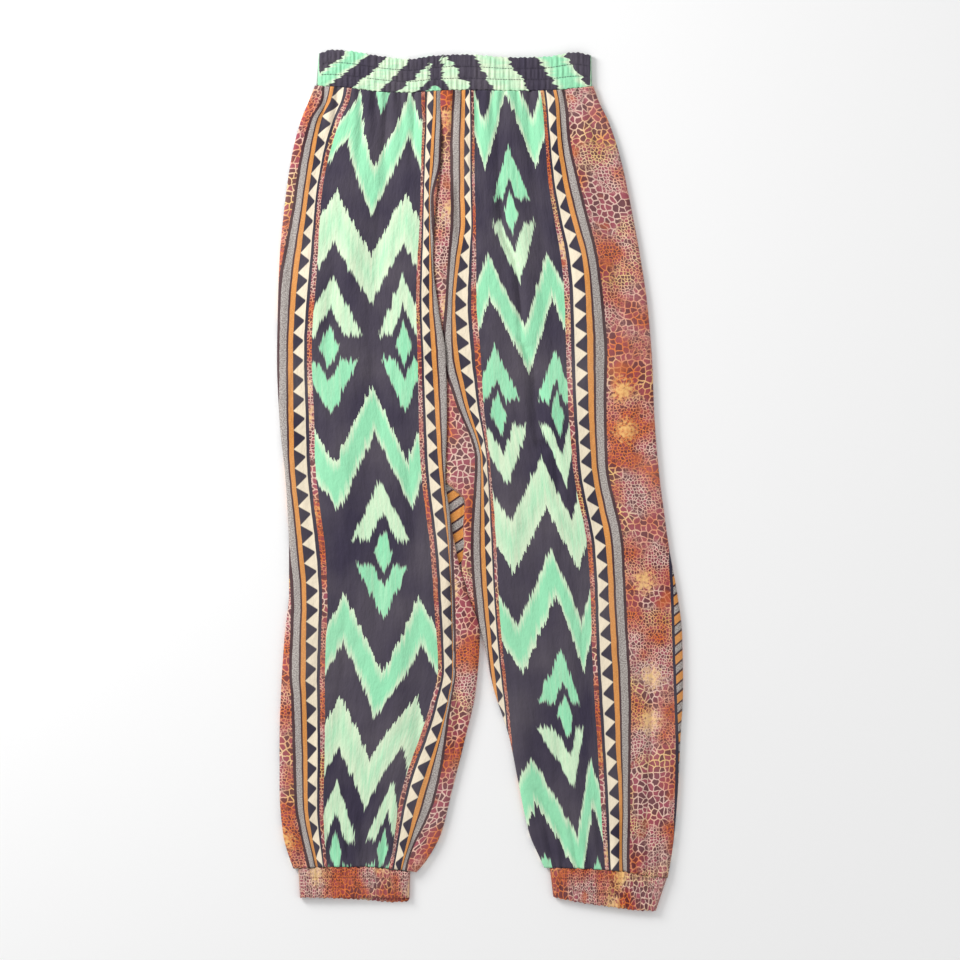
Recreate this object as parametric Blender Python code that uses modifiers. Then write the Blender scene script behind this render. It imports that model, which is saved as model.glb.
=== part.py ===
"""Cuffed harem pants laid flat, face up: four leg panels, an elastic waistband and two elastic cuffs.

The pants lie on the XY plane with the waist towards +Y and the front up. The origin is the middle of the
bounding box, on the surface they lie on. Sections and folds are tabled in millimetres: x across the pants,
positive towards the wearer's left leg, and drop, the distance down from the highest point of the waistband.
"""

from collections import namedtuple

import bmesh
import bpy
import numpy as np

MM = 0.001
LENGTH = 1000.0  # highest point of the waistband to the lowest point of the hem
CLOTH = 1.3  # wall of a leg panel
BAND_WALL = 2.2  # wall of a band: two layers of gathered cloth with elastic between them
SEAM_GAP = 0.3  # between pieces that are sewn together
LEG_RISE = 6.2  # height of the front panels above the surface, away from their edges
BAND_RISE = 6.0  # height of the waistband and cuffs, front and back together
EDGE_ROUND = 7.0  # how far in from a fold the front panel rises to its full height
UNDER_ROUND = 3.4  # how far in from a fold the back panel leaves the surface
SEAM_RISE = 3.2  # height of a seam that lies on the fold
UPRIGHT = 1.1  # height over which both panels stand straight at such a seam
CENTRE_RISE = 4.6  # height of the front panels where they meet above the crotch
LEG_ROWS = 27
FRONT_COLUMNS = 21
BACK_COLUMNS = 13
BAND_COLUMNS = 44
EDGE_STEP = 0.8  # width of the strip of faces along each long edge of a panel
# Points given to each radian of bend in a section, as a share of those along its length.
FRONT_BENDS = 0.16
BACK_BENDS = 0.3

# One row for each section of the legs. right_out and right_in are the folds of the wearer's right leg,
# left_in and left_out those of the left leg. closed is 0 above the crotch, where the panels meet at the
# centre, and 1 below it.
Section = namedtuple("Section", "drop right_out right_in left_in left_out closed")
SECTIONS = [
    Section(40, -190, -46, -46, 130, 0),
    Section(60, -198, -46, -46, 137, 0),
    Section(85, -208, -46, -46, 149, 0),
    Section(125, -218, -47, -47, 162, 0),
    Section(180, -226, -53, -53, 174, 0),
    Section(245, -232, -56, -56, 186, 0),
    Section(300, -234, -50, -50, 194, 0),
    Section(360, -235, -41, -41, 199, 0),
    Section(430, -232, -40, -40, 202, 0),
    Section(500, -225, -42, -42, 208, 0.2),
    Section(530, -223, -38, -38, 212, 0.7),
    Section(580, -221, -30, -30, 219, 1),
    Section(630, -221, -17, -17, 228, 1),
    Section(680, -226, -1, 3, 234, 1),
    Section(740, -230, -5, 16, 235, 1),
    Section(800, -232, -18, 35, 232, 1),
    Section(860, -232, -33, 47, 229, 1),
    Section(910, -228, -46, 58, 225, 1),
    Section(940, -220, -62, 71, 221, 1),
    Section(962, -211, -81, 81, 217, 1),
]

# One row for each large fold of a front panel. A point lies x across and drop down; reach is the fold's
# half width and rise its height, below zero for a valley.
Fold = namedtuple("Fold", "panel x0 drop0 x1 drop1 reach rise")
FOLDS = [
    Fold("left", 30, 105, 30, 205, 13, -1.6),
    Fold("left", 30, 205, 48, 262, 13, -1.8),
    Fold("left", 52, 330, 68, 415, 14, -1.8),
    Fold("left", 68, 415, 82, 590, 15, -1.7),
    Fold("left", 14, 150, 20, 300, 16, 1.2),
    Fold("left", 60, 180, 84, 330, 18, 1.3),
    Fold("left", 96, 360, 104, 560, 18, 1.1),
    Fold("left", -9, 380, -7, 600, 12, 2.4),
    Fold("left", 178, 690, 198, 905, 13, -1.7),
    Fold("left", 96, 800, 122, 940, 14, -1.6),
    Fold("right", -112, 120, -104, 260, 16, 1.2),
    Fold("right", -70, 130, -74, 300, 14, -1.3),
    Fold("right", -152, 300, -140, 520, 20, 1.0),
    Fold("right", -82, 430, -76, 600, 16, -1.2),
    Fold("right", -28, 735, -36, 880, 12, -1.8),
    Fold("right", -120, 850, -124, 945, 13, -1.4),
    Fold("right", -170, 800, -166, 940, 14, 1.1),
]

# One row for each place across a band, from the wearer's right end (share 0) to the left end: the drop of
# its upper and lower edges, and how far the back layer shows past the front one there.
Edge = namedtuple("Edge", "share upper lower back_upper back_lower")
WAIST_EDGES = [
    Edge(0.00, 4.5, 42, 4.5, 42),
    Edge(0.05, 1, 43, 0, 43),
    Edge(0.11, 2.5, 44.5, 1.5, 44.5),
    Edge(0.25, 9, 49.5, 9, 49.5),
    Edge(0.33, 11.5, 50, 11.5, 50),
    Edge(0.42, 7.5, 48.5, 7.5, 48.5),
    Edge(0.53, 6, 47, 6, 47),
    Edge(0.72, 9.5, 48, 9.5, 48),
    Edge(0.84, 8.5, 47.5, 8.5, 47.5),
    Edge(0.94, 3.5, 45, 3.5, 45),
    Edge(1.00, 7, 43, 7, 43),
]
RIGHT_CUFF_EDGES = [
    Edge(0.00, 951, 984.5, 951, 984.5),
    Edge(0.30, 949, 985, 949, 985.5),
    Edge(0.60, 949, 985, 949, 987.5),
    Edge(0.85, 952.5, 985, 952.5, 990),
    Edge(1.00, 955, 984.5, 955, 989),
]
LEFT_CUFF_EDGES = [
    Edge(0.00, 950, 984, 950, 984),
    Edge(0.30, 951, 991, 951, 991),
    Edge(0.60, 954, 996, 954, 996),
    Edge(0.85, 960, 999.5, 960, 999.5),
    Edge(1.00, 962, 1000, 962, 1000),
]

# The ends of each band: x of its upper and lower corners.
Ends = namedtuple("Ends", "right_upper right_lower left_upper left_lower")
WAIST_ENDS = Ends(-187, -190, 129, 130)
RIGHT_CUFF_ENDS = Ends(-211, -209, -81, -82)
LEFT_CUFF_ENDS = Ends(81, 85, 217, 204)

# Gathers fade out this far from a band, and stand this high where they are sewn into it.
GATHER_FADE = 55.0
GATHER_RISE = 0.9
WAIST_PLEATS = 6
CUFF_PLEATS = 5

COLOURS = {
    "right_front": (0.075, 0.068, 0.098),
    "left_front": (0.085, 0.074, 0.104),
    "right_back": (0.46, 0.16, 0.07),
    "left_back": (0.52, 0.2, 0.08),
    "waistband": (0.07, 0.066, 0.11),
    "right_cuff": (0.5, 0.19, 0.12),
    "left_cuff": (0.48, 0.15, 0.08),
}


def column(table, name, at, key):
    """A table's column at a place between its rows, on a smooth curve that doesn't overshoot."""
    xs = np.array([getattr(row, key) for row in table], float)
    ys = np.array([getattr(row, name) for row in table], float)
    at = np.clip(at, xs[0], xs[-1])
    slopes = np.diff(ys) / np.diff(xs)
    same_way = slopes[1:] * slopes[:-1] > 0
    middle = np.where(same_way, 2 * slopes[1:] * slopes[:-1] / np.where(same_way, slopes[1:] + slopes[:-1], 1), 0)
    tangents = np.concatenate([[slopes[0]], middle, [slopes[-1]]])
    i = np.clip(np.searchsorted(xs, at) - 1, 0, len(xs) - 2)
    step = xs[i + 1] - xs[i]
    t = (at - xs[i]) / step
    rise = ys[i + 1] - ys[i]
    start, end = tangents[i] * step, tangents[i + 1] * step
    return ys[i] + t * (start + t * ((3 * rise - 2 * start - end) + t * (start + end - 2 * rise)))


def section(name, drop):
    return column(SECTIONS, name, drop, "drop")


def edge(table, name, share):
    return column(table, name, share, "share")


def quarter(n):
    """Sine and cosine along a quarter turn, for the rounded edges."""
    angles = np.linspace(0, np.pi / 2, n)
    return np.sin(angles), np.cos(angles)


def top_path(inner, outer, closed):
    """The front of a leg's section, from its inner fold over the top to its outer fold, as x and z."""
    rim = CENTRE_RISE + (SEAM_RISE - CENTRE_RISE) * closed
    side = 1 if outer > inner else -1
    sine, cosine = quarter(9)
    low_in, low_out = min(rim + UPRIGHT, LEG_RISE), SEAM_RISE + UPRIGHT
    x_in, z_in = inner + side * EDGE_ROUND * (1 - cosine), low_in + (LEG_RISE - low_in) * sine
    x_out, z_out = outer - side * EDGE_ROUND * (1 - cosine), low_out + (LEG_RISE - low_out) * sine
    x = np.concatenate([[inner], x_in, x_out[::-1], [outer]])
    z = np.concatenate([[rim], z_in, z_out[::-1], [SEAM_RISE]])
    return np.stack([x, z], axis=1)


def bottom_path(inner, outer, closed):
    """The back of a leg's section, from its inner fold along the surface to its outer fold."""
    rim = SEAM_RISE * closed
    side = 1 if outer > inner else -1
    sine, cosine = quarter(7)
    low_in, low_out = max(rim - UPRIGHT, 0), SEAM_RISE - UPRIGHT
    x_in, z_in = inner + side * UNDER_ROUND * (1 - sine[::-1]), low_in * (1 - cosine[::-1])
    x_out, z_out = outer - side * UNDER_ROUND * (1 - sine), low_out * (1 - cosine)
    x = np.concatenate([[inner], x_in, x_out, [outer]])
    z = np.concatenate([[rim], z_in, z_out, [SEAM_RISE]])
    return np.stack([x, z], axis=1)


def along(path):
    """The distance of each point of a path from its start."""
    return np.concatenate([[0], np.cumsum(np.linalg.norm(np.diff(path, axis=0), axis=1))])


def cut(path, start, end):
    """The stretch of a path between two distances from its start."""
    run = along(path)
    inside = (run > start) & (run < end)
    at = np.concatenate([[start], run[inside], [end]])
    return np.stack([np.interp(at, run, path[:, 0]), np.interp(at, run, path[:, 1])], axis=1)


def spaced(path, count, bends):
    """The path again, as count points: evenly apart where it is straight, closer where it bends."""
    steps = np.diff(path, axis=0)
    headings = np.unwrap(np.arctan2(steps[:, 1], steps[:, 0]))
    turned = np.concatenate([[0, 0], np.cumsum(np.abs(np.diff(headings)))])
    run = along(path)
    measure = run / run[-1] + bends * turned
    first, last = np.interp([EDGE_STEP, run[-1] - EDGE_STEP], run, measure)
    at = np.concatenate([[0], np.linspace(first, last, count - 2), [measure[-1]]])
    return np.stack([np.interp(at, measure, path[:, 0]), np.interp(at, measure, path[:, 1])], axis=1)


def leg_paths(leg, drop):
    """The front and back panels of a leg at one section, each from the inner seam to the outer seam."""
    inner = section(f"{leg}_in", drop) + (SEAM_GAP / 2 if leg == "left" else -SEAM_GAP / 2)
    outer = section(f"{leg}_out", drop)
    closed = section("closed", drop)
    top, bottom = top_path(inner, outer, closed), bottom_path(inner, outer, closed)
    length = along(top)[-1]
    return cut(top, SEAM_GAP * 2, length - SEAM_GAP * 2), bottom


def pleats(share, drop, upper, lower):
    """The gathers where a panel is sewn into its bands."""
    near_waist = np.clip(1 - (drop - upper) / GATHER_FADE, 0, 1) ** 2
    near_cuff = np.clip(1 - (lower - drop) / GATHER_FADE, 0, 1) ** 2
    waist = near_waist * np.cos(2 * np.pi * WAIST_PLEATS * share)
    cuff = near_cuff * np.cos(2 * np.pi * CUFF_PLEATS * share)
    return GATHER_RISE * (waist + cuff)


def folds(leg, x, drop):
    """The height that the large folds add to a front panel."""
    total = np.zeros_like(x)
    for fold in FOLDS:
        if fold.panel != leg:
            continue
        run, fall = fold.x1 - fold.x0, fold.drop1 - fold.drop0
        share = ((x - fold.x0) * run + (drop - fold.drop0) * fall) / (run * run + fall * fall)
        away = np.hypot(x - fold.x0 - np.clip(share, 0, 1) * run, drop - fold.drop0 - np.clip(share, 0, 1) * fall)
        total += fold.rise * np.exp(-((away / fold.reach) ** 2) * 2)
    return total


def row_shares():
    """Where the rows of a leg lie between its waist seam and its cuff seam, closer together at both ends."""
    even = np.linspace(0, 1, LEG_ROWS)
    return 0.6 * even + 0.4 * (0.5 - 0.5 * np.cos(np.pi * even))


def leg_points(leg, which):
    """The outer face of one leg panel as rows of points, in millimetres."""
    ends = WAIST_ENDS
    cuff = RIGHT_CUFF_EDGES if leg == "right" else LEFT_CUFF_EDGES
    cuff_middle = edge(cuff, "upper", 0.5)
    rows = []
    for row in row_shares():
        nominal = 48 + row * (cuff_middle - 48)
        front, back = leg_paths(leg, nominal)
        if which == "front":
            path = spaced(front, FRONT_COLUMNS, FRONT_BENDS)
        else:
            path = spaced(back, BACK_COLUMNS, BACK_BENDS)
        inner, outer = section(f"{leg}_in", nominal), section(f"{leg}_out", nominal)
        share = np.clip((path[:, 0] - inner) / (outer - inner), 0, 1)
        waist_share = (path[:, 0] - ends.right_lower) / (ends.left_lower - ends.right_lower)
        cuff_share = 1 - share if leg == "right" else share
        upper = edge(WAIST_EDGES, "lower", waist_share) + SEAM_GAP * 1.5
        lower = edge(cuff, "upper", cuff_share) - SEAM_GAP * (1.5 if which == "front" else 2.2)
        drop = upper + row * (lower - upper)
        x = path[:, 0] + (1 - share) * (section(f"{leg}_in", drop) - inner)
        x = x + share * (section(f"{leg}_out", drop) - outer)
        z = path[:, 1].copy()
        on_top = z > LEG_RISE * 0.75
        to_fold = np.minimum(np.abs(x - section(f"{leg}_in", drop)), np.abs(x - section(f"{leg}_out", drop)))
        relief = (folds(leg, x, drop) + pleats(share, drop, upper, lower)) * np.clip(to_fold / 18, 0, 1)
        z = np.where(on_top, z + relief, z)
        rows.append(np.stack([x, drop, z], axis=1))
    return np.array(rows)


def band_points(edges, ends, rows=4):
    """The outer face of a band as rows of points round its ring, in millimetres. The last column meets the first."""
    half = BAND_RISE / 2
    turn = np.linspace(0, np.pi, 7)
    across = np.linspace(0.0, 1.0, BAND_COLUMNS // 2 - 5)[1:-1]
    points = []
    for row in np.linspace(0, 1, rows):
        right = ends.right_upper + row * (ends.right_lower - ends.right_upper)
        left = ends.left_upper + row * (ends.left_lower - ends.left_upper)
        start, end = right + half, left - half
        front = [(start + s * (end - start), BAND_RISE, 1.0) for s in across]
        left_end = [(end + half * np.sin(a), half + half * np.cos(a), 0.5 + 0.5 * np.cos(a)) for a in turn]
        back = [(start + s * (end - start), 0.0, 0.0) for s in across[::-1]]
        right_end = [(start - half * np.sin(a), half - half * np.cos(a), 0.5 - 0.5 * np.cos(a)) for a in turn]
        ring = np.array(front + left_end + back + right_end + front[:1])
        share = np.clip((ring[:, 0] - right) / (left - right), 0, 1)
        face = ring[:, 2]
        upper = face * edge(edges, "upper", share) + (1 - face) * edge(edges, "back_upper", share)
        lower = face * edge(edges, "lower", share) + (1 - face) * edge(edges, "back_lower", share)
        points.append(np.stack([ring[:, 0], upper + row * (lower - upper), ring[:, 1]], axis=1))
    return np.array(points)


def cloth(name, points, wall):
    """A named wall of cloth on rows of points: a grid laid on them, given its thickness inwards."""
    rows, columns = points.shape[:2]
    mesh = bpy.data.meshes.new(name)
    grid = bmesh.new()
    bmesh.ops.create_grid(grid, x_segments=columns - 1, y_segments=rows - 1, size=1)
    for vertex in grid.verts:
        across = round((vertex.co.x + 1) / 2 * (columns - 1))
        down = round((1 - vertex.co.y) / 2 * (rows - 1))
        x, drop, z = points[down, across]
        vertex.co = (x * MM, (LENGTH / 2 - drop) * MM, z * MM)
    bmesh.ops.remove_doubles(grid, verts=grid.verts, dist=0.001 * MM)
    grid.normal_update()
    outward = 0.0
    for face in grid.faces:
        above = face.calc_center_median().z > BAND_RISE / 2 * MM
        outward += face.normal.z * face.calc_area() * (1 if above else -1)
    if outward < 0:
        bmesh.ops.reverse_faces(grid, faces=grid.faces)
    grid.to_mesh(mesh)
    grid.free()
    piece = bpy.data.objects.new(name, mesh)
    solidify = piece.modifiers.new("wall", "SOLIDIFY")
    solidify.thickness = wall * MM
    solidify.offset = -1
    solidify.use_even_offset = True
    solidify.use_rim = True
    mesh.shade_smooth()
    return piece


def finish(piece, pants):
    """Gives a piece its own material and puts it with the others."""
    material = bpy.data.materials.new(piece.name)
    material.use_nodes = True
    shader = material.node_tree.nodes["Principled BSDF"]
    shader.inputs["Base Color"].default_value = (*COLOURS[piece.name], 1)
    shader.inputs["Roughness"].default_value = 0.85
    shader.inputs["Metallic"].default_value = 0
    piece.data.materials.append(material)
    pants.objects.link(piece)


def main():
    for old in list(bpy.data.objects):
        bpy.data.objects.remove(old)
    pants = bpy.data.collections.new("harem_pants")
    bpy.context.scene.collection.children.link(pants)
    for leg in ("right", "left"):
        finish(cloth(f"{leg}_front", leg_points(leg, "front"), CLOTH), pants)
        finish(cloth(f"{leg}_back", leg_points(leg, "back"), CLOTH), pants)
    finish(cloth("waistband", band_points(WAIST_EDGES, WAIST_ENDS), BAND_WALL), pants)
    finish(cloth("right_cuff", band_points(RIGHT_CUFF_EDGES, RIGHT_CUFF_ENDS), BAND_WALL), pants)
    finish(cloth("left_cuff", band_points(LEFT_CUFF_EDGES, LEFT_CUFF_ENDS), BAND_WALL), pants)


if __name__ == "__main__":
    main()
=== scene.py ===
"""Printed harem pants laid flat, face up, finished as cloth: leg panels with their creases, an elastic
waistband and elastic cuffs with their gathers, rows of stitches, and a printed viscose cloth of zigzags,
lozenges, stripes, sawteeth and animal spots.

Places on the pants are in millimetres: x across, positive towards the wearer's left leg, and drop, the
distance down from the top of the waistband. Places on the print are u, from the middle of a zigzag column,
and w, along it.
"""

import math
from collections import namedtuple

import bpy
import numpy as np
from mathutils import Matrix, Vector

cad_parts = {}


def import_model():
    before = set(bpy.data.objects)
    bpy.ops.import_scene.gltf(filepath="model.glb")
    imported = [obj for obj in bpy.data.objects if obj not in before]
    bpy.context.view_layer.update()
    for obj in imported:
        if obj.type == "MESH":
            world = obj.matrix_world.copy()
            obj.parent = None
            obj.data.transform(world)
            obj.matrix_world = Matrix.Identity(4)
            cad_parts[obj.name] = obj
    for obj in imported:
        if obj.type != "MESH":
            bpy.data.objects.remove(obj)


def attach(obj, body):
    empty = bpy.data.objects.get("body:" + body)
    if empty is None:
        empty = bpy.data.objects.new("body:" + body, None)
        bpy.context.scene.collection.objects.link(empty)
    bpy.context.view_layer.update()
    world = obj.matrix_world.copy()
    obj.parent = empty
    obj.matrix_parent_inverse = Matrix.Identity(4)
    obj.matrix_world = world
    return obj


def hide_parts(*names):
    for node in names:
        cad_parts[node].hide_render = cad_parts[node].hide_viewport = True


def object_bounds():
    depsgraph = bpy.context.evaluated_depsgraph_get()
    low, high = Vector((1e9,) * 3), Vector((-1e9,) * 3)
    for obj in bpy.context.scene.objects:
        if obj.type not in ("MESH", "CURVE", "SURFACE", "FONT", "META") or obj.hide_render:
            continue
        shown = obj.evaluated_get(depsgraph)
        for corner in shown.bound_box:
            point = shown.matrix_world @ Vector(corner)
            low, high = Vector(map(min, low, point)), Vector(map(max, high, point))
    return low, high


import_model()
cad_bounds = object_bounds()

bl_info = {
    "name": "Harem pants",
    "version": (1, 0, 0),
    "blender": (4, 5, 0),
    "location": "View3D > Sidebar > Pants",
    "description": "Finishes a pair of flat-laid printed harem pants",
    "category": "Object",
}

MM = 0.001
TOP = cad_bounds[1][1]
SCALE = (cad_bounds[1][1] - cad_bounds[0][1]) / 1.0  # the tables are for pants 1000 mm long

# ---- the lie of the legs -------------------------------------------------------------------------------

# The folds at the sides of each leg. The seam at the centre ends where the legs part.
Section = namedtuple("Section", "drop right_out right_in left_in left_out closed")
SECTIONS = [
    Section(40, -190, -46, -46, 130, 0),
    Section(60, -198, -46, -46, 137, 0),
    Section(85, -208, -46, -46, 149, 0),
    Section(125, -218, -47, -47, 162, 0),
    Section(180, -226, -53, -53, 174, 0),
    Section(245, -232, -56, -56, 186, 0),
    Section(300, -234, -50, -50, 194, 0),
    Section(360, -235, -41, -41, 199, 0),
    Section(430, -232, -40, -40, 202, 0),
    Section(500, -225, -42, -42, 208, 0.2),
    Section(530, -223, -38, -38, 212, 0.7),
    Section(580, -221, -30, -30, 219, 1),
    Section(630, -221, -17, -17, 228, 1),
    Section(680, -226, -1, 3, 234, 1),
    Section(740, -230, -5, 16, 235, 1),
    Section(800, -232, -18, 35, 232, 1),
    Section(860, -232, -33, 47, 229, 1),
    Section(910, -228, -46, 58, 225, 1),
    Section(940, -220, -62, 71, 221, 1),
    Section(962, -211, -81, 81, 217, 1),
]

# Upper and lower edges of the bands at shares of their width from the wearer's right end.
Edge = namedtuple("Edge", "share upper lower back_upper back_lower")
WAIST_EDGES = [
    Edge(0.00, 4.5, 42, 4.5, 42),
    Edge(0.05, 1, 43, 0, 43),
    Edge(0.11, 2.5, 44.5, 1.5, 44.5),
    Edge(0.25, 9, 49.5, 9, 49.5),
    Edge(0.33, 11.5, 50, 11.5, 50),
    Edge(0.42, 7.5, 48.5, 7.5, 48.5),
    Edge(0.53, 6, 47, 6, 47),
    Edge(0.72, 9.5, 48, 9.5, 48),
    Edge(0.84, 8.5, 47.5, 8.5, 47.5),
    Edge(0.94, 3.5, 45, 3.5, 45),
    Edge(1.00, 7, 43, 7, 43),
]
RIGHT_CUFF_EDGES = [
    Edge(0.00, 951, 984.5, 951, 984.5),
    Edge(0.30, 949, 985, 949, 985.5),
    Edge(0.60, 949, 985, 949, 987.5),
    Edge(0.85, 952.5, 985, 952.5, 990),
    Edge(1.00, 955, 984.5, 955, 989),
]
LEFT_CUFF_EDGES = [
    Edge(0.00, 950, 984, 950, 984),
    Edge(0.30, 951, 991, 951, 991),
    Edge(0.60, 954, 996, 954, 996),
    Edge(0.85, 960, 999.5, 960, 999.5),
    Edge(1.00, 962, 1000, 962, 1000),
]
Ends = namedtuple("Ends", "right_upper right_lower left_upper left_lower")
WAIST_ENDS = Ends(-187, -190, 129, 130)
RIGHT_CUFF_ENDS = Ends(-211, -209, -81, -82)
LEFT_CUFF_ENDS = Ends(81, 85, 217, 204)

LEG_RISE = 6.2  # height of the front panels above the surface
SEAM_RISE = 3.2  # height of the seams that lie on the folds
CENTRE_RISE = 4.6  # height of the front panels at the centre seam
EDGE_ROUND = 8.0  # reach of the rounding beside a front panel's folds
BACK_ROUND = 5.0  # and beside a back panel's
BAND_RISE = 6.0
WALL = 0.9

# Rows and columns of a leg panel's mesh, and how far its columns crowd towards the sides.
FRONT_GRID = (420, 128, 0.55)
BACK_GRID = (150, 60, 0.6)
BAND_ROWS = 34
FRONT_FADE = 14  # distance from the folds over which creases fade
BACK_FADE = 16
FRONT_RELIEF = 1.5  # what a front panel's creases are multiplied by
LOWEST_FRONT = 2.6  # height that no front panel's face goes below

# Under the crotch the left front panel's edge is turned back, and the back panel shows beside it.
TURN_TOP = 498
TURN_END = 628
TURN_WIDTH = 21
TURN_NARROWING = 17
TURN_RIDGE = 1.3
TURN_DEPTH = 4.2

# ---- the print -----------------------------------------------------------------------------------------

# Half widths, from the middle of a zigzag column to the outer edge of each stripe beside it.
IKAT_EDGE = 65.5
SPOTS_EDGE = 71.3
NAVY_EDGE = 75.0
SAW_EDGE = 88.4
OCHRE_EDGE = 95.2
BROWN_EDGE = 96.7
GREY_EDGE = 105.1
DARK_EDGE = 108.6
LEOPARD_EDGE = 166.6
SIDE_EDGE = 170.3
REPEAT = 586.5  # of the column, along it
SAW_PITCH = 22.6
ROPE_PITCH = 23.0

# Where the print lies on each front panel: x of the stripes' edges at some drops. On the wearer's right leg
# a is the outer edge of the grey stripe, b where ochre meets the sawteeth, c and d the column's two edges,
# m its middle, then e and f as b and a on the inner side.
Track = namedtuple("Track", "drop a b c m d e f")
RIGHT_TRACKS = [
    Track(40, -180, -170, -148, -111, -68, -54, -46),
    Track(59, -183, -174, -152, -113, -68, -54, -47),
    Track(82, -195, -185, -162, -115.5, -67, -55, -47),
    Track(129, -206, -193, -176, -123.5, -68, -57.5, -48),
    Track(175, -213, -200, -184, -125, -69, -59, -57),
    Track(291, -231, -214, -192, -126, -74, -59, -49),
    Track(350, -233, -217, -194.5, -127, -72.5, -56, -40),
    Track(466, -230.5, -216, -192, -120, -70, -49.5, -38),
    Track(582, -220, -205.5, -179.5, -111, -57.5, -36.5, -34),
    Track(640, -215.5, -202, -178, -111, -54, -34, -32),
    Track(721, -218, -202, -179, -114, -48, -31.5, -30),
    Track(756, -215.5, -201.5, -179.5, -120, -56, -37, -35.5),
    Track(872, -212, -200, -182, -132, -93.5, -73, -56),
    Track(942, -198, -189, -178, -141, -104.5, -90, -85.5),
    Track(960, -194, -185, -175, -142, -108, -94, -89),
]
# On the wearer's left leg a to f run from the inner side to the outer side.
LEFT_TRACKS = [
    Track(40, -29, -17, -8, 30, 69, 84, 91),
    Track(59, -30, -17.5, -7.5, 31, 71.5, 87, 96.5),
    Track(106, -31, -18, -6.5, 32, 76, 90, 102),
    Track(152, -30, -18, -6, 33, 79.5, 97, 112.5),
    Track(199, -31, -17, -5, 36.5, 86.5, 107, 123),
    Track(245, -35, -24.5, -4.5, 43.5, 93.5, 118.5, 133.5),
    Track(291, -37, -29, -4, 49.5, 98, 123, 139.5),
    Track(350, -39.5, -25, 0.5, 55, 100.5, 125.5, 144),
    Track(408, -26, -15, 4, 58.5, 101.5, 125.5, 143.5),
    Track(477, -2.5, 3, 11, 71.5, 106.5, 129, 145),
    Track(582, -7.5, 6, 19, 82, 125, 146.5, 164),
    Track(698, 4, 14, 26, 94.5, 130, 152.5, 169.5),
    Track(802, 20, 27.5, 37.5, 104, 135.5, 158, 172.5),
    Track(872, 29.5, 36.5, 44.5, 110, 140, 161.5, 171.5),
    Track(942, 44.5, 51.5, 60, 116.5, 144.5, 161, 170),
    Track(962, 48, 55, 63, 118, 146, 162, 171),
]
TRACK_EDGES = (-GREY_EDGE, -SAW_EDGE, -IKAT_EDGE, 0.0, IKAT_EDGE, SAW_EDGE, GREY_EDGE)
RIGHT_START = 56.9  # w at the top of the waistband on the right leg, where w grows with the drop
LEFT_START = 1413.4  # on the left leg, where the cloth was cut the other way up and w falls with the drop

WAIST_MIRROR = -51.7  # x from which the waistband's print runs back on both sides
CUFF_GATHER = 0.62  # width of a cuff as a share of its cloth's

# ---- creases -------------------------------------------------------------------------------------------

# Folds and creases of a panel: from x0, drop0 to x1, drop1 with the middle bent sideways, half width reach,
# and rise, below zero for a valley. sharp is how keen the line along its middle is.
Crease = namedtuple("Crease", "x0 drop0 x1 drop1 bend reach rise sharp")
RIGHT_CREASES = [
    # under the waistband
    Crease(-178, 46, -186, 96, 1, 5, -1.5, 0.4),
    Crease(-164, 47, -172, 128, -2, 6, -1.7, 0.5),
    Crease(-151, 48, -153, 88, 1, 5, -1.2, 0.3),
    Crease(-137, 49, -143, 142, 2, 6, -1.9, 0.6),
    Crease(-122, 50, -121, 90, 0, 5, -1.3, 0.3),
    Crease(-106, 51, -110, 156, -3, 6, -2.0, 0.5),
    Crease(-92, 51, -90, 96, 1, 5, -1.4, 0.4),
    Crease(-77, 50, -80, 132, 2, 6, -1.8, 0.5),
    Crease(-62, 50, -61, 104, -1, 5, -1.6, 0.5),
    # down the leg
    Crease(-215, 118, -221, 270, -3, 7, -1.2, 0.2),
    Crease(-206, 210, -196, 360, 4, 14, 1.3, 0.0),
    Crease(-150, 150, -158, 300, 5, 13, 1.4, 0.0),
    Crease(-168, 250, -176, 400, -4, 8, -1.2, 0.2),
    Crease(-118, 180, -122, 292, 3, 8, -1.3, 0.2),
    Crease(-96, 230, -86, 400, -5, 13, 1.3, 0.0),
    Crease(-130, 330, -118, 470, 5, 8, -1.2, 0.2),
    Crease(-203, 420, -196, 560, 3, 9, -1.3, 0.2),
    Crease(-160, 430, -150, 600, -5, 15, 1.2, 0.0),
    Crease(-88, 470, -76, 610, 4, 8, -1.4, 0.3),
    Crease(-120, 560, -126, 690, 5, 10, -1.0, 0.1),
    Crease(-56, 150, -58, 300, -1, 4, -2.4, 0.8),
    Crease(-36, 560, -32, 720, 2, 4, -2.6, 0.8),
    Crease(-26, 740, -33, 862, 2, 5, -2.5, 0.8),
    Crease(-200, 640, -206, 800, -4, 12, 1.2, 0.0),
    Crease(-162, 680, -170, 840, 4, 9, -1.3, 0.2),
    Crease(-96, 700, -112, 850, 4, 11, 1.2, 0.0),
    Crease(-70, 760, -88, 880, 3, 7, -1.4, 0.3),
    # above the cuff
    Crease(-203, 946, -212, 880, -1, 5, -1.6, 0.5),
    Crease(-190, 947, -196, 900, 1, 4, -1.4, 0.4),
    Crease(-176, 948, -183, 862, -2, 5, -1.9, 0.6),
    Crease(-163, 948, -165, 905, 0, 4, -1.4, 0.4),
    Crease(-152, 948, -154, 906, 1, 4, -2.6, 0.9),
    Crease(-140, 948, -141, 880, -2, 5, -1.6, 0.4),
    Crease(-126, 948, -135, 890, 3, 5, -2.8, 0.9),
    Crease(-112, 949, -108, 900, 1, 4, -1.5, 0.4),
    Crease(-99, 951, -92, 878, 2, 5, -1.8, 0.5),
    Crease(-88, 953, -74, 905, -1, 4, -1.5, 0.4),
]
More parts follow.
